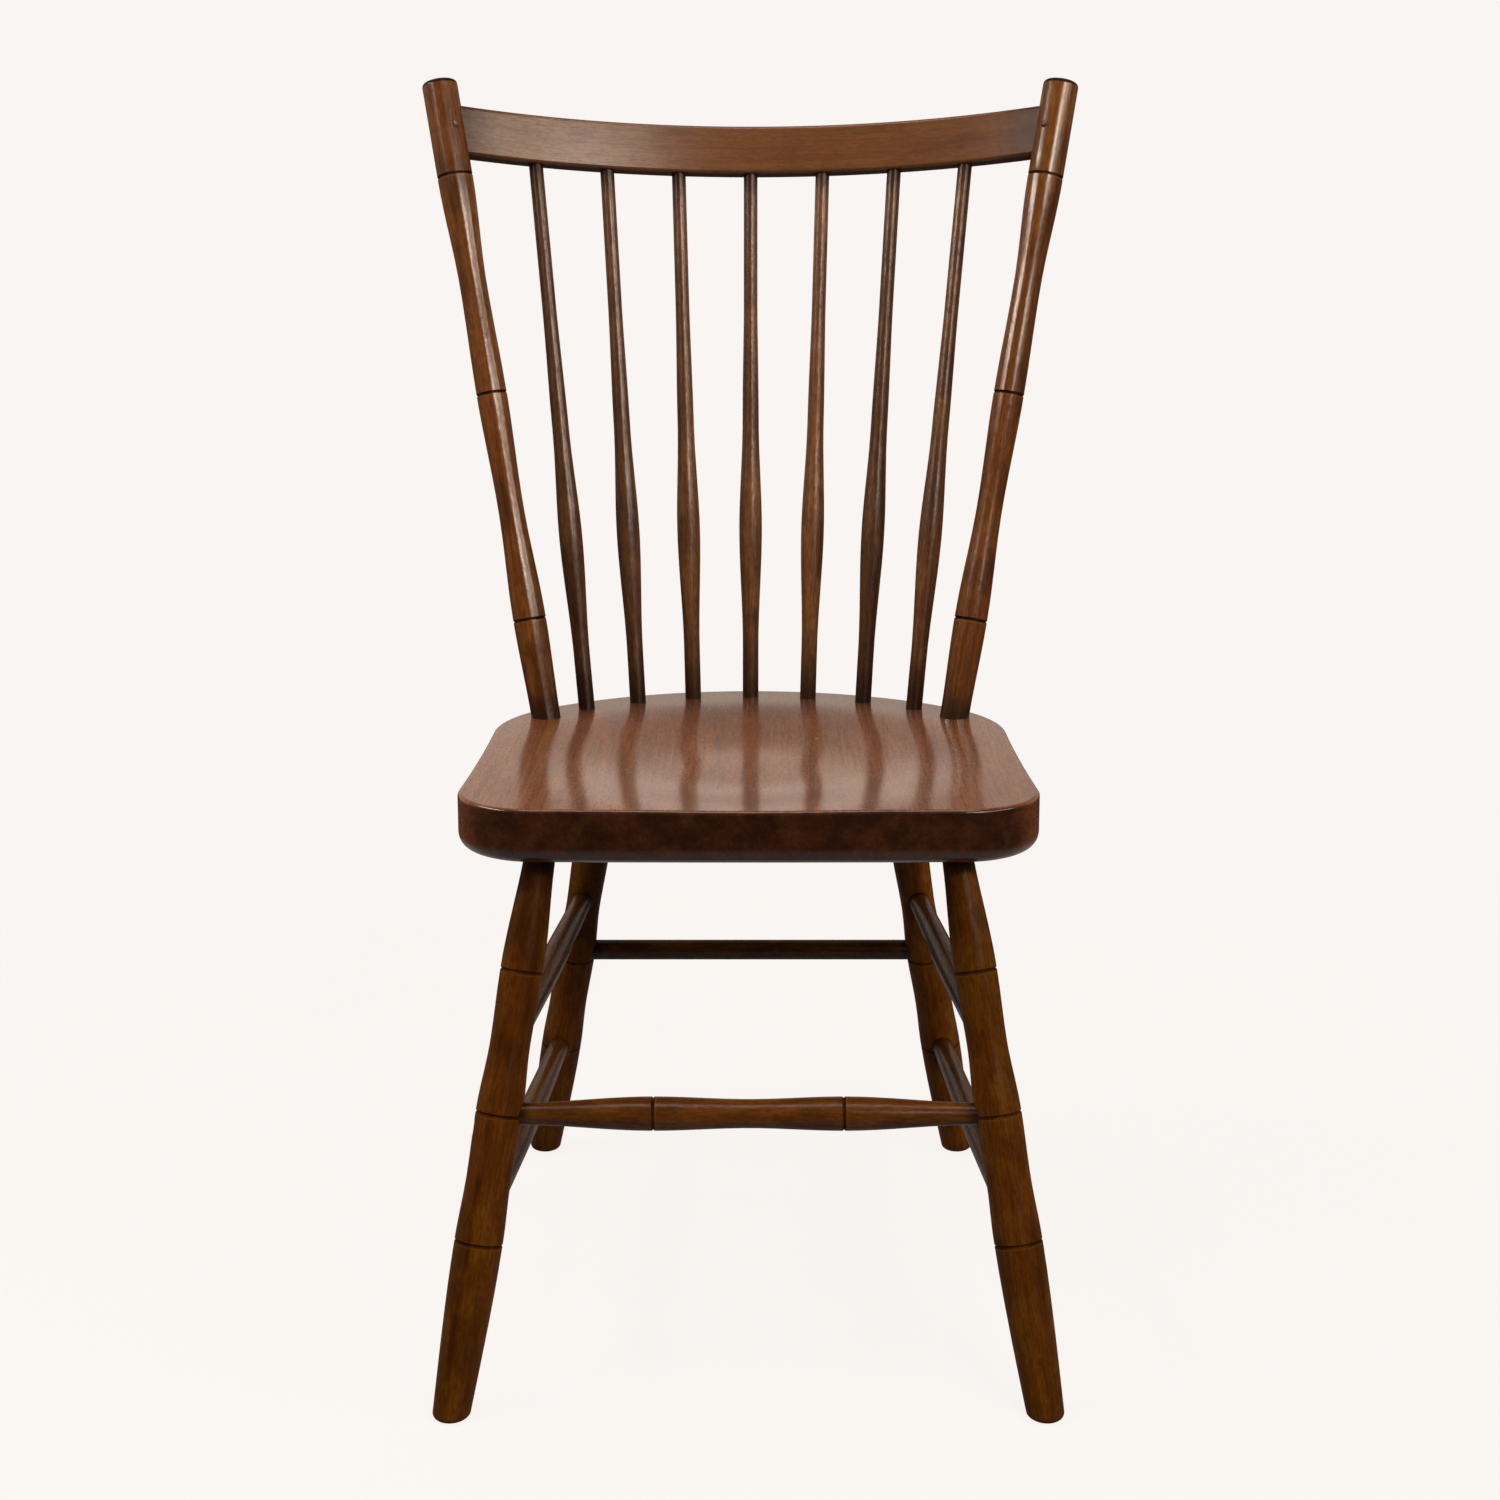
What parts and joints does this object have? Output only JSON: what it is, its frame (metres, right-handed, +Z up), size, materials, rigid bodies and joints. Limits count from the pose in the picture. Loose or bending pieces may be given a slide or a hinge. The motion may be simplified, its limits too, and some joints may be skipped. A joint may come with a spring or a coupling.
{
  "type": "spindle back dining chair",
  "caption": "Wooden side chair with a saddled plank seat, turned splayed legs joined by stretchers, and a raked back of slim spindles under a bent crest rail.",
  "frame": {"origin": "on the floor, under the middle of the overall box", "axes": "+Z up, -Y towards the front of the seat, +X to the right as seen from the front"},
  "size_m": [0.5776, 0.5888, 0.9954],
  "materials": {
    "seat_wood": "brown stain under glossy lacquer",
    "back_wood": "brown stain under satin lacquer",
    "base_wood": "dark brown stain under satin lacquer",
    "peg_wood": "dark brown stain under satin lacquer"
  },
  "bodies": {
    "root": {"seat": "seat_wood", "crest_rail": "back_wood", "post_left": "back_wood", "post_right": "back_wood", "spindle_1": "back_wood", "spindle_2": "back_wood", "spindle_3": "back_wood", "spindle_4": "back_wood", "spindle_5": "back_wood", "spindle_6": "back_wood", "spindle_7": "back_wood", "leg_front_left": "base_wood", "leg_front_right": "base_wood", "leg_rear_left": "base_wood", "leg_rear_right": "base_wood", "front_stretcher": "base_wood", "rear_stretcher": "base_wood", "side_stretcher_upper_left": "base_wood", "side_stretcher_upper_right": "base_wood", "side_stretcher_lower_left": "base_wood", "side_stretcher_lower_right": "base_wood", "crest_pin_left": "peg_wood", "crest_pin_right": "peg_wood"}
  },
  "joints": []
}
